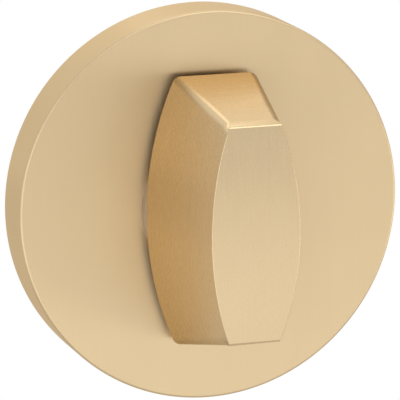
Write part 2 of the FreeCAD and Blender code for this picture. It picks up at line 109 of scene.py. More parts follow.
class THUMBTURN_PG_rose(bpy.types.PropertyGroup):
    """Sizes of the cover and the bush."""

    radius: length_value("Radius", "Radius of the round cover", cover_high.x)
    depth: length_value("Depth", "From the door to the cover's front", -cover_low.y)
    front_wall: length_value("Front wall", "Thickness of the cover's front", 1.6 * MM)
    rim_wall: length_value("Rim wall", "Thickness of the cover's rim", 1.5 * MM)
    edge_round: length_value("Edge round", "Radius of the cover's front edge", 0.35 * MM)
    groove_depth: length_value("Groove depth", "Depth of the snap groove", 0.45 * MM)
    groove_width: length_value("Groove width", "Width of the snap groove", 1.2 * MM)
    groove_setback: length_value("Groove setback", "From the door to the snap groove", 1.3 * MM)
    neck_radius: length_value("Neck hole", "Radius of the hole for the bush", 7.48 * MM)
    notch_width: length_value("Notch width", "Width of the screwdriver notch", 6.0 * MM)
    notch_depth: length_value("Notch depth", "Depth of the screwdriver notch", 0.8 * MM)
    notch_round: length_value("Notch round", "Radius of the notch's corners", 0.35 * MM)
    bush_bore: length_value("Bush bore", "Radius of the bore that the shank turns in", 6.05 * MM)
    bush_outside: length_value("Bush outside", "Radius of the bush in the cover", 7.4 * MM)


class THUMBTURN_PG_knob(bpy.types.PropertyGroup):
    """Sizes of the thumb turn."""

    base_length: length_value("Base length", "Height of the end next to the rose", 35.9 * MM)
    base_waist: length_value("Base waist", "Width of that end at half height", 18.8 * MM)
    base_end: length_value("Base end", "Width of that end at its top", 11.0 * MM)
    face_length: length_value("Face length", "Height of the front face", 28.45 * MM)
    face_waist: length_value("Face waist", "Width of the front face at half height", 11.9 * MM)
    face_end: length_value("Face end", "Width of the front face at its top", 6.95 * MM)
    face_crown: length_value("Face crown", "How far the front face curves back at its ends", 0.5 * MM)
    corner_round: length_value("Corner round", "Greatest radius of the four slanting edges", 2.0 * MM)
    face_round: length_value("Face round", "Radius of the front face's top and bottom edges", 0.35 * MM)
    side_round: length_value("Side round", "Radius of the front face's bowed edges", 0.12 * MM)
    base_round: length_value("Base round", "Radius of the base's edges", 0.25 * MM)
    bore_radius: length_value("Bore radius", "Radius of the bore for the shank", 4.5 * MM)
    bore_depth: length_value("Bore depth", "Depth of the bore for the shank", 9.0 * MM)


class THUMBTURN_PG_screw(bpy.types.PropertyGroup):
    """Sizes of the two wood screws."""

    head_radius: length_value("Head radius", "Radius of the countersunk head", 3.4 * MM)
    head_land: length_value("Head land", "Straight part of the head's side", 0.3 * MM)
    plain_radius: length_value("Plain radius", "Radius below the head", 1.75 * MM)
    core_radius: length_value("Core radius", "Radius between the threads", 1.2 * MM)
    plain_length: length_value("Plain length", "Length below the head without thread", 5.0 * MM)
    point_length: length_value("Point length", "Length of the point", 3.0 * MM)
    pitch: length_value("Pitch", "From one turn of the thread to the next", 1.35 * MM)
    recess_span: length_value("Recess span", "Width of the cross recess", 3.6 * MM)
    recess_depth: length_value("Recess depth", "Depth of the cross recess", 1.5 * MM)


class THUMBTURN_PG_finish(bpy.types.PropertyGroup):
    """Colours of the finishes."""

    brass: colour_value("Satin brass", "Cover and thumb turn", "#C5AF8B")
    zinc: colour_value("Die-cast zinc", "Casting under the cover", "#A6A7A8")
    nylon: colour_value("Grey nylon", "Neck bush", "#A88F74")
    spring: colour_value("Spring steel", "Clips and wave washer", "#8E9094")
    plate: colour_value("Zinc plate", "Screws, spindle, washer and stop plate", "#C3C6CA")
    turned: colour_value("Turned steel", "Shank and spindle sleeve", "#ABADAF")
    black: colour_value("Blackened steel", "Circlip and grub screw", "#3A393A")
    floor: colour_value("Floor", "Pale studio floor", "#F1EFEC")


class THUMBTURN_PG_stage(bpy.types.PropertyGroup):
    """Camera, floor and room light."""

    azimuth: FloatProperty(name="Azimuth", description="Camera's turn to the object's right",
                           default=math.radians(-18.5), subtype="ANGLE")
    elevation: FloatProperty(name="Elevation", description="Camera's height angle",
                             default=math.radians(12.7), subtype="ANGLE")
    distance: length_value("Distance", "From the camera to the object", 500 * MM)
    focal_length: FloatProperty(name="Focal length", description="Camera lens in millimetres",
                                default=338.6, min=1.0, subtype="DISTANCE_CAMERA")
    floor_drop: length_value("Floor drop", "How far the floor lies below the turning axis", 620 * MM)
    floor_radius: length_value("Floor radius", "Radius of the round floor", 900 * MM)
    room_light: FloatProperty(name="Room light", description="Strength of the even light from all round",
                              default=0.8, min=0.0)


def leave_edit_mode():
    """Back to object mode, with nothing selected."""
    if bpy.context.object and bpy.context.object.mode != "OBJECT":
        bpy.ops.object.mode_set(mode="OBJECT")
    bpy.ops.object.select_all(action="DESELECT")


def start_piece(name):
    """Names the primitive just added, puts its place in its mesh, and opens it for editing."""
    piece = bpy.context.object
    piece.name = name
    piece.data.name = name
    bpy.ops.object.transform_apply(location=True, rotation=True, scale=True)
    bpy.ops.object.mode_set(mode="EDIT")
    return piece


def pick(kind, test):
    """Selects the vertices, edges or faces that pass a test, and returns how many."""
    bpy.ops.mesh.select_mode(type=kind)
    mesh = bpy.context.object.data
    form = bmesh.from_edit_mesh(mesh)
    for group in (form.verts, form.edges, form.faces):
        for part in group:
            part.select = False
    group = {"VERT": form.verts, "EDGE": form.edges, "FACE": form.faces}[kind]
    chosen = [part for part in group if test(part)]
    for part in chosen:
        part.select_set(True)
    form.select_flush_mode()
    bmesh.update_edit_mesh(mesh)
    return len(chosen)


def finish_colours():
    """The colours that a user may change."""
    return bpy.context.scene.thumb_turn_finish


def direction_at(turn, rise):
    """Direction from the object at a turn to its right and a height angle, seen from in front."""
    return Vector((math.sin(turn) * math.cos(rise), -math.cos(turn) * math.cos(rise), math.sin(rise)))


def near(first, second, slack=2e-6):
    """True if two lengths are the same to a few thousandths of a millimetre."""
    return abs(first - second) < slack


def on_ring(radius, depth):
    """Test for the edges of one ring about the turning axis."""
    def test(edge):
        return all(near(vert.co.y, depth) and near(math.hypot(vert.co.x, vert.co.z), radius)
                   for vert in edge.verts)
    return test


def soften(test, width, segments):
    """Rounds the edges that pass a test."""
    if not pick("EDGE", test):
        raise RuntimeError(f"{bpy.context.object.name}: no edge to round")
    bpy.ops.mesh.bevel(offset_type="OFFSET", offset=width, segments=segments, profile=0.5,
                       affect="EDGES", clamp_overlap=False)


def turned_piece(name, rings, steps):
    """Piece turned about the Y axis: a circle extruded and resized through (radius, depth) rings."""
    leave_edit_mode()
    radius, depth = rings[0]
    bpy.ops.mesh.primitive_circle_add(vertices=steps, radius=radius, fill_type="NOTHING",
                                      location=(0, depth, 0), rotation=TURN_AXIS_LYING)
    piece = start_piece(name)
    bpy.ops.mesh.select_all(action="SELECT")
    for next_radius, next_depth in rings[1:]:
        bpy.ops.mesh.extrude_region_move(TRANSFORM_OT_translate={"value": (0, next_depth - depth, 0)})
        ratio = next_radius / radius
        bpy.ops.transform.resize(value=(ratio, 1, ratio), center_override=(0, next_depth, 0))
        radius, depth = next_radius, next_depth
    return piece


def pick_open_edges():
    """Selects the edges round every opening."""
    bpy.ops.mesh.select_mode(type="EDGE")
    bpy.ops.mesh.select_all(action="DESELECT")
    bpy.ops.mesh.select_non_manifold()


def join_ends():
    """Bridges the first and the last ring of a hollow turned piece."""
    pick_open_edges()
    bpy.ops.mesh.bridge_edge_loops()


def close_end(radius, depth):
    """Fills one end ring of a solid turned piece."""
    pick("EDGE", on_ring(radius, depth))
    bpy.ops.mesh.edge_face_add()


def tidy_surface():
    """Merges doubles and points every face outwards."""
    bpy.ops.mesh.select_mode(type="VERT")
    bpy.ops.mesh.select_all(action="SELECT")
    bpy.ops.mesh.remove_doubles(threshold=1e-6)
    bpy.ops.mesh.normals_make_consistent(inside=False)


def apply_modifier(piece, kind, **settings):
    """Adds one modifier to the piece and applies it."""
    bpy.ops.object.modifier_add(type=kind)
    modifier = piece.modifiers[-1]
    for key, value in settings.items():
        setattr(modifier, key, value)
    bpy.ops.object.modifier_apply(modifier=modifier.name)


def make_active(piece):
    """Selects one piece alone."""
    leave_edit_mode()
    piece.select_set(True)
    bpy.context.view_layer.objects.active = piece


def cut_away(piece, cutter):
    """Takes the cutter's shape out of the piece."""
    make_active(piece)
    apply_modifier(piece, "BOOLEAN", operation="DIFFERENCE", solver="EXACT", object=cutter)
    bpy.data.objects.remove(cutter)


def finish_piece(piece, finish, body, slot_name, *nodes):
    """Smooth shading that keeps flat faces flat, the finish, and the piece's place in the frame."""
    make_active(piece)
    bpy.ops.object.shade_smooth_by_angle(angle=SMOOTH_ANGLE)
    apply_modifier(piece, "WEIGHTED_NORMAL", keep_sharp=True)
    piece.data.materials.clear()
    piece.data.materials.append(finish)
    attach(piece, body)
    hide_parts(*nodes)


def add_node(tree, kind, inputs=None, **settings):
    """Adds one node, with its settings and its values or links by socket."""
    node = tree.nodes.new(kind)
    for key, value in settings.items():
        setattr(node, key, value)
    for key, value in (inputs or {}).items():
        if isinstance(value, bpy.types.NodeSocket):
            tree.links.new(value, node.inputs[key])
        else:
            node.inputs[key].default_value = value
    return node


def new_finish(name):
    """Empty node material, and its tree."""
    finish = bpy.data.materials.new(name)
    finish.use_nodes = True
    finish.node_tree.nodes.clear()
    return finish, finish.node_tree


def grain(tree, size, detail=2.0, distortion=0.0):
    """Noise whose spots have this size in metres along X, Y and Z of the piece."""
    place = add_node(tree, "ShaderNodeTexCoord").outputs["Object"]
    scale = tuple(1 / length for length in size)
    stretched = add_node(tree, "ShaderNodeMapping", {"Vector": place, "Scale": scale})
    return add_node(tree, "ShaderNodeTexNoise", {
        "Vector": stretched.outputs["Vector"],
        "Scale": 1.0,
        "Detail": detail,
        "Distortion": distortion,
    }).outputs["Fac"]


def mottled(tree, colour, pattern, darkest, lightest, low=GRAIN_LOW, high=GRAIN_HIGH):
    """A colour made darker and lighter where a grain is low and high."""
    factor = add_node(tree, "ShaderNodeMapRange", {
        "Value": pattern, "From Min": low, "From Max": high, "To Min": darkest, "To Max": lightest,
    })
    return add_node(tree, "ShaderNodeMix", {
        SHARE: 1.0, COLOUR_A: colour, COLOUR_B: factor.outputs["Result"],
    }, data_type="RGBA", blend_type="MULTIPLY").outputs[COLOUR_OUT]


def stained(tree, colour, stain, pattern, most):
    """A colour with patches of a second one, which covers it by this share at most."""
    share = add_node(tree, "ShaderNodeMapRange", {
        "Value": pattern, "From Min": GRAIN_LOW, "From Max": GRAIN_HIGH, "To Min": 0.0, "To Max": most,
    })
    return add_node(tree, "ShaderNodeMix", {
        SHARE: share.outputs["Result"], COLOUR_A: colour, COLOUR_B: stain,
    }, data_type="RGBA").outputs[COLOUR_OUT]


def surface(tree, colour, sheen, smoothest, roughest, relief, strength, depth, **others):
    """Shader and output: one grain sets the roughness, and one the relief, with its depth in metres."""
    roughness = add_node(tree, "ShaderNodeMapRange", {
        "Value": sheen, "From Min": GRAIN_LOW, "From Max": GRAIN_HIGH,
        "To Min": smoothest, "To Max": roughest,
    })
    bump = add_node(tree, "ShaderNodeBump", {
        "Height": relief, "Strength": strength, "Distance": depth,
    })
    shader = add_node(tree, "ShaderNodeBsdfPrincipled", {
        "Base Color": colour,
        "Roughness": roughness.outputs["Result"],
        "Normal": bump.outputs["Normal"],
        **others,
    })
    add_node(tree, "ShaderNodeOutputMaterial", {"Surface": shader.outputs["BSDF"]})


def on_front(tree):
    """1 on the fronts and backs, 0 on the rims, sides and ends."""
    least_depth = 0.6
    facing = add_node(tree, "ShaderNodeTexCoord").outputs["Normal"]
    depth = add_node(tree, "ShaderNodeSeparateXYZ", {"Vector": facing}).outputs["Y"]
    steep = add_node(tree, "ShaderNodeMath", {0: depth}, operation="ABSOLUTE").outputs[0]
    return add_node(tree, "ShaderNodeMath", {0: steep, 1: least_depth},
                    operation="GREATER_THAN").outputs[0]


def brush_lines(tree, front, width, length):
    """Lines of a width and length in metres, upright on the fronts and round the rims and sides."""
    upright = grain(tree, (width, width, length), detail=3.0)
    around = grain(tree, (length, width, length), detail=3.0)
    return add_node(tree, "ShaderNodeMix", {
        SHARE: front, FLOAT_A: around, FLOAT_B: upright,
    }).outputs[FLOAT_OUT]


def across_brushing(tree, front):
    """Direction across the brush lines: along X on the fronts, into the door elsewhere."""
    across = add_node(tree, "ShaderNodeMix", {
        SHARE: front, VECTOR_A: (0, 1, 0), VECTOR_B: (1, 0, 0),
    }, data_type="VECTOR")
    return add_node(tree, "ShaderNodeVectorTransform", {"Vector": across.outputs[VECTOR_OUT]},
                    vector_type="VECTOR", convert_from="OBJECT", convert_to="WORLD").outputs["Vector"]


def brushed_brass(name, smoothest, roughest):
    """Brass brushed upright on a fine belt and lacquered: soft, wide highlights with faint lines."""
    finish, tree = new_finish(name)
    front = on_front(tree)
    # The scratches of a 320 grit belt are 0.05 mm wide. They are drawn 0.15 and 0.4 mm wide,
    # so that they show.
    lines = add_node(tree, "ShaderNodeMix", {
        SHARE: 0.45,
        FLOAT_A: brush_lines(tree, front, width=0.15 * MM, length=9 * MM),
        FLOAT_B: brush_lines(tree, front, width=0.4 * MM, length=24 * MM),
    }).outputs[FLOAT_OUT]
    cloud = grain(tree, (7 * MM, 7 * MM, 11 * MM))
    shade = add_node(tree, "ShaderNodeMix", {
        SHARE: 0.5, FLOAT_A: lines, FLOAT_B: cloud,
    }).outputs[FLOAT_OUT]
    colour = mottled(tree, finish_colours().brass, shade, darkest=0.98, lightest=1.02,
                     low=0.35, high=0.65)
    surface(tree, colour, lines, smoothest, roughest, lines, strength=0.035, depth=0.02 * MM, **{
        "Metallic": 1.0,
        "Specular Tint": to_linear("#F2E2C9"),
        "Anisotropic": 0.75,
        "Tangent": across_brushing(tree, front),
    })
    return finish


def cast_zinc():
    """Zinc as it leaves the die: dull, slightly mottled, with fine pits and flow marks."""
    finish, tree = new_finish("die_cast_zinc")
    mottle = grain(tree, (2.6 * MM, 2.6 * MM, 1.7 * MM), detail=5.0, distortion=1.2)
    pits = grain(tree, [0.22 * MM] * 3)
    sheen = add_node(tree, "ShaderNodeMix", {
        SHARE: 0.5, FLOAT_A: mottle, FLOAT_B: pits,
    }).outputs[FLOAT_OUT]
    relief = add_node(tree, "ShaderNodeMix", {
        SHARE: 0.35, FLOAT_A: pits, FLOAT_B: mottle,
    }).outputs[FLOAT_OUT]
    colour = mottled(tree, finish_colours().zinc, mottle, darkest=0.82, lightest=1.08)
    surface(tree, colour, sheen, 0.42, 0.62, relief, strength=0.35, depth=0.05 * MM, Metallic=1.0)
    return finish


def moulded_nylon():
    """Glass-filled nylon from a spark-eroded mould: matt, a little translucent, with fine grain."""
    finish, tree = new_finish("moulded_grey_nylon")
    texture = grain(tree, [0.12 * MM] * 3, detail=3.0)
    cloud = grain(tree, [2.5 * MM] * 3)
    colour = mottled(tree, finish_colours().nylon, cloud, darkest=0.93, lightest=1.05)
    surface(tree, colour, texture, 0.42, 0.56, texture, strength=0.25, depth=0.03 * MM, **{
        "IOR": 1.53,
        "Subsurface Weight": 0.08,
        "Subsurface Radius": (0.6, 0.5, 0.45),
        "Subsurface Scale": 0.5 * MM,
    })
    return finish


def rolled_spring_steel():
    """Tempered spring strip: cool grey with rolling lines and a faint straw tint."""
    finish, tree = new_finish("rolled_spring_steel")
    # Real rolling lines are 0.02 mm wide; they are drawn 0.12 mm wide, so that they show.
    lines = grain(tree, (0.12 * MM, 4 * MM, 0.12 * MM), detail=3.0)
    temper = grain(tree, [3 * MM] * 3)
    colour = stained(tree, finish_colours().spring, to_linear("#9A8F7C"), temper, most=0.5)
    surface(tree, colour, lines, 0.24, 0.38, lines, strength=0.15, depth=0.015 * MM, Metallic=1.0)
    return finish


def zinc_plate():
    """Bright zinc plate: bluish silver, a little cloudy, over a drawn or stamped surface."""
    finish, tree = new_finish("bright_zinc_plate")
    cloud = grain(tree, (1.4 * MM, 2.2 * MM, 1.4 * MM), detail=4.0)
    # Real drawing lines are 0.02 mm wide; they are drawn 0.08 mm wide, so that they show.
    fine = grain(tree, (0.08 * MM, 1.5 * MM, 0.08 * MM), detail=3.0)
    sheen = add_node(tree, "ShaderNodeMix", {
        SHARE: 0.5, FLOAT_A: cloud, FLOAT_B: fine,
    }).outputs[FLOAT_OUT]
    colour = mottled(tree, finish_colours().plate, cloud, darkest=0.86, lightest=1.04)
    surface(tree, colour, sheen, 0.22, 0.4, fine, strength=0.12, depth=0.02 * MM, Metallic=1.0)
    return finish


def turned_steel():
    """Free-cutting steel from the lathe: fine rings about the turning axis."""
    finish, tree = new_finish("lathe_turned_steel")
    # Real feed marks are 0.05 mm apart; they are drawn 0.12 mm apart, so that they show.
    rings = grain(tree, (30 * MM, 0.12 * MM, 30 * MM))
    cloud = grain(tree, [3 * MM] * 3)
    colour = mottled(tree, finish_colours().turned, cloud, darkest=0.92, lightest=1.04)
    surface(tree, colour, rings, 0.22, 0.36, rings, strength=0.25, depth=0.02 * MM, Metallic=1.0)
    return finish


def blackened_steel():
    """Phosphated and oiled spring steel: nearly black, with a soft sheen and a brown cast in places."""
    finish, tree = new_finish("phosphated_black_steel")
    # Real phosphate crystals are 0.02 mm wide; they are drawn 0.09 mm wide, so that they show.
    crystals = grain(tree, [0.09 * MM] * 3, detail=3.0)
    oil = grain(tree, [1.6 * MM] * 3, detail=3.0)
    colour = stained(tree, finish_colours().black, to_linear("#4A4038"), oil, most=0.6)
    surface(tree, colour, crystals, 0.36, 0.52, crystals, strength=0.2, depth=0.02 * MM, Metallic=1.0)
    return finish


def repaint(finish, *nodes):
    """Gives solids that keep their shape their finish."""
    for name in nodes:
        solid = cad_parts[name]
        for place in solid.material_slots:
            place.material = finish


class THUMBTURN_OT_rose_cover(bpy.types.Operator):
    """Turned brass cup with a soft front edge, a snap groove and a screwdriver notch."""

    bl_idname = "thumb_turn.rose_cover"
    bl_label = "Rose cover"

    inner_chamfer = 0.4 * MM
    back_round = 0.15 * MM
    neck_round = 0.12 * MM

    def execute(self, context):
        rose = context.scene.thumb_turn_rose
        front = -rose.depth
        inner_front = front + rose.front_wall
        bore = rose.radius - rose.rim_wall
        groove_back = -rose.groove_setback
        groove_front = groove_back - rose.groove_width
        cover = turned_piece("rose_cover_brushed", [
            (rose.radius, 0.0),
            (rose.radius, front),
            (rose.neck_radius, front),
            (rose.neck_radius, inner_front),
            (bore - self.inner_chamfer, inner_front),
            (bore, inner_front + self.inner_chamfer),
            (bore, groove_front),
            (bore + rose.groove_depth, groove_front),
            (bore + rose.groove_depth, groove_back),
            (bore, groove_back),
            (bore, 0.0),
        ], steps=256)
        join_ends()
        tidy_surface()
        soften(on_ring(rose.radius, front), rose.edge_round, segments=10)
        soften(on_ring(rose.radius, 0.0), self.back_round, segments=3)
        soften(on_ring(rose.neck_radius, front), self.neck_round, segments=3)
        cut_away(cover, self.make_notch(rose))
        brass = brushed_brass("brushed_satin_brass", smoothest=0.33, roughest=0.39)
        finish_piece(cover, brass, "rose", "satin_brass", "rose_cover")
        return {"FINISHED"}

    def make_notch(self, rose):
        """Block with two rounded corners, the shape of the notch, longer than the wall is thick."""
        leave_edit_mode()
        depth = 2 * rose.notch_depth
        bpy.ops.mesh.primitive_cube_add(size=1, location=(0, 0, -rose.radius),
                                        scale=(rose.notch_width, depth, 4 * rose.rim_wall))
        notch = start_piece("notch_cutter")

        def inner_corner(edge):
            """True for the two upright edges deepest in the cover."""
            first, second = edge.verts
            return (near(first.co.x, second.co.x)
                    and all(near(vert.co.y, -depth / 2) for vert in edge.verts))

        soften(inner_corner, rose.notch_round, segments=4)
        return notch


class THUMBTURN_OT_neck_bush(bpy.types.Operator):
    """Moulded nylon bush with a soft-edged flange."""

    bl_idname = "thumb_turn.neck_bush"
    bl_label = "Neck bush"

    flange_round = 0.3 * MM
    bore_round = 0.15 * MM
    back_round = 0.2 * MM

    def execute(self, context):
        rose = context.scene.thumb_turn_rose
        flange = bush_high.x
        front, back = bush_low.y, bush_high.y
        cover_front = -rose.depth
        bush = turned_piece("neck_bush_moulded", [
            (rose.bush_bore, front),
            (flange, front),
            (flange, cover_front),
            (rose.bush_outside, cover_front),
            (rose.bush_outside, back),
            (rose.bush_bore, back),
        ], steps=160)
        join_ends()
        tidy_surface()
        soften(on_ring(flange, front), self.flange_round, segments=5)
        soften(on_ring(rose.bush_bore, front), self.bore_round, segments=3)
        soften(on_ring(rose.bush_outside, back), self.back_round, segments=3)
        finish_piece(bush, moulded_nylon(), "rose", "grey_nylon", "neck_bush")
        return {"FINISHED"}


class THUMBTURN_OT_turn_knob(bpy.types.Operator):
    """Barrel-shaped brass grip that tapers to its face, with soft slanting edges."""

    bl_idname = "thumb_turn.turn_knob"
    bl_label = "Turn knob"

    rows: IntProperty(name="Rows", description="Cuts that shape each bowed side", default=24, min=4)
    levels: IntProperty(name="Levels", description="Cuts from the base to the face", default=8, min=2)

    # A bevel's width is measured along the faces. These are its shares of the rounding's radius:
    # faces meet at about 80 degrees at the base, 100 at the face and 112 at the slanting edges.
    base_reach = 1.18
    face_reach = 0.845
    corner_reach = 0.68
    # A bevel evens its width out along an edge, so the widest place is set this much wider.
    corner_fullness = 1.15
    # Share of the way from base to face where the slanting edges are softest, and the share of
    # that softness which is left at their two ends
    softest_at = 0.65
    softness_at_base = 0.12
    softness_at_face = 0.1
    # Where a slanting edge's rounding reaches the face, it lies this near to the corner.
    arc_reach = 1.1 * MM
    arc_depth = 0.2 * MM
    # Only the front face looks further forward than this.
    front_normal = -0.95
    bore_chamfer = 0.2 * MM

    def execute(self, context):
        sizes = context.scene.thumb_turn_knob
        leave_edit_mode()
        base, face = knob_high.y, knob_low.y
        middle = (base + face) / 2
        bpy.ops.mesh.primitive_cube_add(size=1, location=(0, middle, 0),
                                        scale=(sizes.base_end, base - face, sizes.base_length))
        knob = start_piece("turn_knob_brushed")
        self.shape_outlines(sizes, base, face)
        self.cut_levels(base, face)
        leave_edit_mode()
        self.round_corners(knob, sizes, base, face)
        bpy.ops.object.mode_set(mode="EDIT")
        self.point_corners(knob, sizes, face)
        self.round_face(knob, sizes)
        bpy.ops.object.mode_set(mode="EDIT")
        soften(lambda edge: all(near(vert.co.y, base) for vert in edge.verts),
               self.base_reach * sizes.base_round, segments=3)
        tidy_surface()
        cut_away(knob, self.make_bore(sizes, base))
        brass = brushed_brass("fine_brushed_satin_brass", smoothest=0.24, roughest=0.3)
        finish_piece(knob, brass, "turn", "satin_brass", "turn_knob")
        return {"FINISHED"}

    def shape_outlines(self, sizes, base, face):
        """Cuts the block across, and moves each row of corners onto the two bowed outlines."""
        base_rows = [self.row(sizes.base_length, sizes.base_waist, sizes.base_end, number)
                     for number in range(self.rows + 1)]
        face_rows = [self.row(sizes.face_length, sizes.face_waist, sizes.face_end, number)
                     for number in range(self.rows + 1)]
        for height, _ in base_rows[1:-1]:
            bpy.ops.mesh.select_all(action="SELECT")
            bpy.ops.mesh.bisect(plane_co=(0, 0, height), plane_no=(0, 0, 1))
        # The rows nearest the middle go first, so that none lands on one that still has to move.
        for number in sorted(range(self.rows + 1), key=lambda number: abs(number - self.rows / 2)):
            height = base_rows[number][0]
            for depth, (new_height, half_width) in ((base, base_rows[number]), (face, face_rows[number])):
                pick("VERT", lambda vert: near(vert.co.y, depth) and near(vert.co.z, height))
                ratio = 2 * half_width / sizes.base_end
                bpy.ops.transform.resize(value=(ratio, 1, 1), center_override=(0, depth, height))
                back = 0
                if depth == face:
                    back = sizes.face_crown * (2 * new_height / sizes.face_length) ** 2
                bpy.ops.transform.translate(value=(0, back, new_height - height))

    def row(self, length, waist, end, number):
        """Height and half width of one row of a bowed outline."""
        rise = (waist - end) / 2
        radius = ((length / 2) ** 2 + rise ** 2) / (2 * rise)
        half_angle = math.asin(length / 2 / radius)
        angle = half_angle * (2 * number / self.rows - 1)
        return radius * math.sin(angle), waist / 2 - radius * (1 - math.cos(angle))

    def cut_levels(self, base, face):
        """Cuts the sides at even depths, and makes the base one flat face."""
        pick("FACE", lambda side: all(near(vert.co.y, base) for vert in side.verts))
        bpy.ops.mesh.dissolve_faces()
        for number in range(1, self.levels):
            depth = base + (face - base) * number / self.levels
            bpy.ops.mesh.select_all(action="SELECT")
            bpy.ops.mesh.bisect(plane_co=(0, depth, 0), plane_no=(0, 1, 0))

    def softness(self, share):
        """Share of the full rounding of a slanting edge, at a share of the way from base to face."""
        if share < self.softest_at:
            end, reach = self.softness_at_base, share / self.softest_at
        else:
            end, reach = self.softness_at_face, (1 - share) / (1 - self.softest_at)
        return end + (1 - end) * math.sin(reach * math.pi / 2) ** 2

    def round_corners(self, knob, sizes, base, face):
        """Rounds the four slanting edges, most softly two thirds of the way to the face."""
        def way_up(vert):
            """Share of the way from base to face, if the vertex is on a slanting edge."""
            share = (base - vert.co.y) / (base - face - sizes.face_crown)
            width = sizes.base_end + (sizes.face_end - sizes.base_end) * share
            length = sizes.base_length + (sizes.face_length - sizes.base_length) * share
            if near(abs(vert.co.x), width / 2) and near(abs(vert.co.z), length / 2):
                return share
            return None

        weights = knob.data.attributes.new("bevel_weight_edge", "FLOAT", "EDGE")
        ways = [way_up(vert) for vert in knob.data.vertices]
        for edge in knob.data.edges:
            first, second = (ways[number] for number in edge.vertices)
            if first is not None and second is not None and not near(first, second, slack=0.01):
                weights.data[edge.index].value = self.softness((first + second) / 2)
        width = self.corner_fullness * self.corner_reach * sizes.corner_round
        apply_modifier(knob, "BEVEL", limit_method="WEIGHT", width=width, segments=7,
                       use_clamp_overlap=False)
        knob.data.attributes.remove(knob.data.attributes["bevel_weight_edge"])

    def point_corners(self, knob, sizes, face):
        """Draws the rounding of each slanting edge to a point at the face."""
        for right in (-1, 1):
            for top in (-1, 1):
                corner = Vector((right * sizes.face_end / 2, face + sizes.face_crown,
                                 top * sizes.face_length / 2))
                pick("VERT", lambda vert: vert.co.y < corner.y + self.arc_depth
                     and abs(vert.co.x - corner.x) < self.arc_reach
                     and abs(vert.co.z - corner.z) < self.arc_reach)
                bpy.ops.mesh.merge(type="CENTER")
                merged = next(vert for vert in bmesh.from_edit_mesh(knob.data).verts if vert.select)
                bpy.ops.transform.translate(value=corner - merged.co)

    def round_face(self, knob, sizes):
        """Rounds the face's edges, the bowed ones least."""
        def at_face(edge):
            """True for an edge between the front face and a side."""
            depths = [side.normal.y for side in edge.link_faces]
            return min(depths) < self.front_normal < max(depths)

        def at_end(edge):
            """True if the edge runs across the top or the bottom of the face."""
            return near(edge.verts[0].co.z, edge.verts[1].co.z)

        if not pick("EDGE", lambda edge: at_face(edge) and at_end(edge)):
            raise RuntimeError("turn_knob: no end edge to round")
        bpy.ops.transform.edge_bevelweight(value=1.0)
        pick("EDGE", lambda edge: at_face(edge) and not at_end(edge))
        bpy.ops.transform.edge_bevelweight(value=sizes.side_round / sizes.face_round)
        make_active(knob)
        apply_modifier(knob, "BEVEL", limit_method="WEIGHT", width=self.face_reach * sizes.face_round,
                       segments=4, use_clamp_overlap=False)

    def make_bore(self, sizes, base):
        """Cylinder with a chamfered end, the shape of the bore."""
        leave_edit_mode()
        depth = 2 * sizes.bore_depth
        bpy.ops.mesh.primitive_cylinder_add(vertices=64, radius=sizes.bore_radius, depth=depth,
                                            location=(0, base, 0), rotation=TURN_AXIS_LYING)
        bore = start_piece("bore_cutter")
        soften(on_ring(sizes.bore_radius, base - sizes.bore_depth), self.bore_chamfer, segments=1)
        return bore


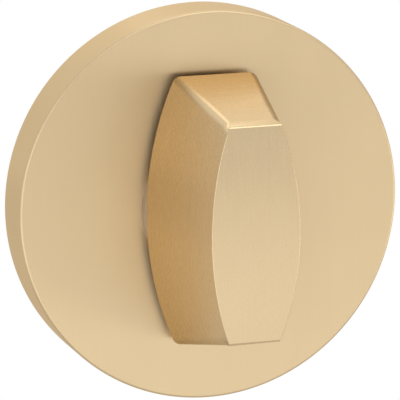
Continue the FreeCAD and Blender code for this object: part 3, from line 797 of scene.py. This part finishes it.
class THUMBTURN_OT_wood_screws(bpy.types.Operator):
    """Two countersunk wood screws with a cut thread and a cross recess."""

    bl_idname = "thumb_turn.wood_screws"
    bl_label = "Wood screws"

    tip_radius = 0.03 * MM
    head_round = 0.1 * MM
    land_round = 0.08 * MM
    # Thickness of the recess's wings, and what is left of their width and thickness at the bottom
    wing_thickness = 0.9 * MM
    wing_taper = (0.45, 1, 0.6)
    # The thread's ridge starts a little inside the core, and narrows to this share at its crest.
    ridge_root = 0.93
    ridge_width = 0.7 * MM
    crest_share = 0.14
    steps_per_turn = 28
    # It stops this far before the tip. It starts lower and is worn down towards the tip, in bands.
    end_gap = 0.4 * MM
    start_share = 0.66
    start_length = 1.3 * MM
    tip_share = 0.05
    band = 0.06 * MM

    def execute(self, context):
        sizes = context.scene.thumb_turn_screw
        head, tip = screw_low.y, screw_high.y
        seat_end = head + sizes.head_land + sizes.head_radius - sizes.plain_radius
        plain_end = seat_end + sizes.plain_length
        core_start = plain_end + sizes.plain_radius - sizes.core_radius
        point = tip - sizes.point_length
        shank = turned_piece("wood_screws_threaded", [
            (sizes.head_radius, head),
            (sizes.head_radius, head + sizes.head_land),
            (sizes.plain_radius, seat_end),
            (sizes.plain_radius, plain_end),
            (sizes.core_radius, core_start),
            (sizes.core_radius, point),
            (self.tip_radius, tip),
        ], steps=48)
        close_end(sizes.head_radius, head)
        close_end(self.tip_radius, tip)
        tidy_surface()
        soften(on_ring(sizes.head_radius, head), self.head_round, segments=2)
        soften(on_ring(sizes.head_radius, head + sizes.head_land), self.land_round, segments=2)
        cut_away(shank, self.make_recess(sizes, head))
        thread = self.make_thread(sizes, core_start, point, tip)
        make_active(shank)
        thread.select_set(True)
        bpy.ops.object.join()
        self.place_both(shank)
        finish_piece(shank, zinc_plate(), "rose", "zinc_plated_steel", "wood_screws")
        return {"FINISHED"}

    def make_recess(self, sizes, head):
        """Cross with four tapered wings, the shape of the driver's point."""
        leave_edit_mode()
        wings = []
        for turn in (0.0, math.pi / 2):
            bpy.ops.mesh.primitive_cube_add(
                size=1, location=(0, head, 0),
                scale=(sizes.recess_span, 2 * sizes.recess_depth, self.wing_thickness))
            wing = start_piece("recess_wing")
            pick("VERT", lambda vert: vert.co.y > head)
            bpy.ops.transform.resize(value=self.wing_taper,
                                     center_override=(0, head + sizes.recess_depth, 0))
            bpy.ops.mesh.select_all(action="SELECT")
            bpy.ops.transform.rotate(value=turn, orient_axis="Y", center_override=(0, head, 0))
            leave_edit_mode()
            wings.append(wing)
        make_active(wings[0])
        apply_modifier(wings[0], "BOOLEAN", operation="UNION", solver="EXACT", object=wings[1])
        bpy.data.objects.remove(wings[1])
        return wings[0]

    def make_thread(self, sizes, start, point, tip):
        """Ridge wound round the core, lower where it starts and at the point."""
        leave_edit_mode()
        root, crest = self.ridge_root * sizes.core_radius, sizes.plain_radius
        turns = (tip - self.end_gap - start) / sizes.pitch
        centre = ((root + crest) / 2, start, 0)
        bpy.ops.mesh.primitive_plane_add(size=MM, location=centre)
        thread = start_piece("screw_thread")
        bpy.ops.mesh.select_all(action="SELECT")
        bpy.ops.transform.resize(value=((crest - root) / MM, self.ridge_width / MM, 1),
                                 center_override=centre)
        pick("VERT", lambda vert: vert.co.x > centre[0])
        bpy.ops.transform.resize(value=(1, self.crest_share, 1), center_override=(crest, start, 0))
        bpy.ops.mesh.select_mode(type="FACE")
        bpy.ops.mesh.select_all(action="SELECT")
        bpy.ops.mesh.delete(type="ONLY_FACE")
        make_active(thread)
        steps = round(turns * self.steps_per_turn)
        apply_modifier(thread, "SCREW", axis="Y", angle=2 * math.pi * turns,
                       screw_offset=sizes.pitch * turns, steps=steps, render_steps=steps,
                       use_merge_vertices=False)
        bpy.ops.object.mode_set(mode="EDIT")
        pick_open_edges()
        bpy.ops.mesh.fill_holes(sides=0)
        self.wear_thread(thread, start, point, tip)
        tidy_surface()
        leave_edit_mode()
        return thread

    def wear_thread(self, thread, start, point, tip):
        """Lowers the ridge band by band, where it starts and from the point to the tip."""
        low = min(vert.co.y for vert in thread.data.vertices)
        while low < tip:
            middle = low + self.band / 2
            grown = self.start_share + (1 - self.start_share) * (middle - start) / self.start_length
            worn = max(self.tip_share, (tip - middle) / (tip - point))
            ratio = min(grown, worn)
            if ratio < 1.0:
                pick("VERT", lambda vert: low <= vert.co.y < low + self.band)
                bpy.ops.transform.resize(value=(ratio, 1, ratio), center_override=(0, middle, 0))
            low += self.band

    def place_both(self, screw):
        """Copies the screw, and moves the two to their seats above and below the axis."""
        rise = (screw_high.z - screw_low.z) / 2 - bpy.context.scene.thumb_turn_screw.head_radius
        make_active(screw)
        bpy.ops.object.mode_set(mode="EDIT")
        bpy.ops.mesh.select_all(action="SELECT")
        bpy.ops.transform.translate(value=(0, 0, rise))
        bpy.ops.mesh.duplicate_move(TRANSFORM_OT_translate={"value": (0, 0, -2 * rise)})
        leave_edit_mode()


class THUMBTURN_OT_plain_parts(bpy.types.Operator):
    """Finishes of the casting, clips, washers, shank, spindle and others that keep their shape."""

    bl_idname = "thumb_turn.plain_parts"
    bl_label = "Other parts"

    def execute(self, context):
        repaint(cast_zinc(), "under_rose")
        repaint(rolled_spring_steel(), "cover_clip_1", "cover_clip_2", "cover_clip_3", "cover_clip_4",
                "wave_washer")
        repaint(zinc_plate(), "thrust_washer", "stop_plate", "spindle")
        repaint(turned_steel(), "knob_shank", "spindle_sleeve")
        repaint(blackened_steel(), "circlip", "spindle_grub_screw")
        return {"FINISHED"}


class THUMBTURN_OT_stage(bpy.types.Operator):
    """Pale floor, soft lamps, even room light and the camera."""

    bl_idname = "thumb_turn.stage"
    bl_label = "Stage"

    sensor_width = 36.0
    # The object's centre is a little left of and above the picture's, so the camera aims past it.
    aim_right = 0.887 * MM
    aim_up = -0.701 * MM

    def execute(self, context):
        stage = context.scene.thumb_turn_stage
        leave_edit_mode()
        self.make_floor(stage)
        self.make_room(context.scene, stage)
        for name, (turn, rise, size, watts) in LAMPS.items():
            self.make_lamp(name, turn, rise, size, watts)
        self.make_camera(context.scene, stage)
        context.scene.view_settings.view_transform = "Standard"
        return {"FINISHED"}

    def make_floor(self, stage):
        """Round pale floor, well below the object."""
        bpy.ops.mesh.primitive_circle_add(vertices=128, radius=stage.floor_radius, fill_type="NGON",
                                          location=(0, 0, -stage.floor_drop))
        floor = start_piece("studio_floor")
        leave_edit_mode()
        finish, tree = new_finish("matt_painted_floor")
        cloud = grain(tree, [120 * MM] * 3)
        paint = mottled(tree, finish_colours().floor, cloud, darkest=0.99, lightest=1.0)
        shader = add_node(tree, "ShaderNodeBsdfPrincipled", {"Base Color": paint, "Roughness": 0.85})
        add_node(tree, "ShaderNodeOutputMaterial", {"Surface": shader.outputs["BSDF"]})
        floor.data.materials.append(finish)

    def make_room(self, scene, stage):
        """Even light from all round, and a white room for the camera and for reflections."""
        room = bpy.data.worlds.new("white_room")
        scene.world = room
        room.use_nodes = True
        tree = room.node_tree
        tree.nodes.clear()
        path = add_node(tree, "ShaderNodeLightPath").outputs
        seen = path["Is Camera Ray"]
        for ray in ("Is Glossy Ray", "Is Transmission Ray"):
            seen = add_node(tree, "ShaderNodeMath", {0: seen, 1: path[ray]},
                            operation="MAXIMUM").outputs[0]
        light = add_node(tree, "ShaderNodeBackground", {"Color": WHITE, "Strength": stage.room_light})
        white = add_node(tree, "ShaderNodeBackground", {"Color": WHITE, "Strength": 1.0})
        mixed = add_node(tree, "ShaderNodeMixShader", {
            0: seen, 1: light.outputs["Background"], 2: white.outputs["Background"],
        })
        add_node(tree, "ShaderNodeOutputWorld", {"Surface": mixed.outputs["Shader"]})

    def make_lamp(self, name, turn, rise, size, watts):
        """Soft square lamp aimed at the object."""
        lamp = bpy.data.lights.new(name, "AREA")
        lamp.shape = "SQUARE"
        lamp.size = size
        lamp.energy = watts
        holder = bpy.data.objects.new(name, lamp)
        bpy.context.scene.collection.objects.link(holder)
        away = direction_at(math.radians(turn), math.radians(rise))
        holder.location = away * LAMP_DISTANCE
        holder.rotation_euler = away.to_track_quat("Z", "Y").to_euler()
        holder.visible_camera = False

    def make_camera(self, scene, stage):
        """Long lens at the photograph's angle."""
        lens = bpy.data.cameras.new("view_from_front")
        lens.lens = stage.focal_length
        lens.sensor_width = self.sensor_width
        holder = bpy.data.objects.new("view_from_front", lens)
        scene.collection.objects.link(holder)
        turn, rise = stage.azimuth, stage.elevation
        away = direction_at(turn, rise)
        right = Vector((math.cos(turn), math.sin(turn), 0))
        up = away.cross(right)
        aim = right * self.aim_right + up * self.aim_up
        holder.location = aim + away * stage.distance
        holder.rotation_euler = away.to_track_quat("Z", "Y").to_euler()
        scene.camera = holder


class THUMBTURN_PT_pieces(bpy.types.Panel):
    """List of the pieces and their sizes."""

    bl_idname = "THUMBTURN_PT_pieces"
    bl_label = "Bathroom thumb turn"
    bl_space_type = "VIEW_3D"
    bl_region_type = "UI"
    bl_category = "Thumb turn"

    def draw(self, context):
        layout = self.layout
        for step in STEPS:
            layout.operator(step.bl_idname)
        for group in PROPERTY_GROUPS:
            box = layout.box()
            values = getattr(context.scene, group)
            for name in values.bl_rna.properties.keys():
                if name not in ("rna_type", "name"):
                    box.prop(values, name)


PROPERTY_GROUPS = {
    "thumb_turn_rose": THUMBTURN_PG_rose,
    "thumb_turn_knob": THUMBTURN_PG_knob,
    "thumb_turn_screw": THUMBTURN_PG_screw,
    "thumb_turn_finish": THUMBTURN_PG_finish,
    "thumb_turn_stage": THUMBTURN_PG_stage,
}
STEPS = (
    THUMBTURN_OT_stage,
    THUMBTURN_OT_rose_cover,
    THUMBTURN_OT_neck_bush,
    THUMBTURN_OT_turn_knob,
    THUMBTURN_OT_wood_screws,
    THUMBTURN_OT_plain_parts,
)


def register():
    """Adds the property groups, operators and panel."""
    for group in PROPERTY_GROUPS.values():
        bpy.utils.register_class(group)
    for step in STEPS + (THUMBTURN_PT_pieces,):
        bpy.utils.register_class(step)
    for name, group in PROPERTY_GROUPS.items():
        setattr(bpy.types.Scene, name, PointerProperty(type=group))


def unregister():
    """Removes what register added."""
    for name in PROPERTY_GROUPS:
        delattr(bpy.types.Scene, name)
    for step in STEPS + (THUMBTURN_PT_pieces,):
        bpy.utils.unregister_class(step)
    for group in PROPERTY_GROUPS.values():
        bpy.utils.unregister_class(group)


def main():
    """Makes every piece in order."""
    register()
    bpy.ops.thumb_turn.stage()
    bpy.ops.thumb_turn.rose_cover()
    bpy.ops.thumb_turn.neck_bush()
    bpy.ops.thumb_turn.turn_knob()
    bpy.ops.thumb_turn.wood_screws()
    bpy.ops.thumb_turn.plain_parts()
    leave_edit_mode()


if __name__ == "__main__":
    main()
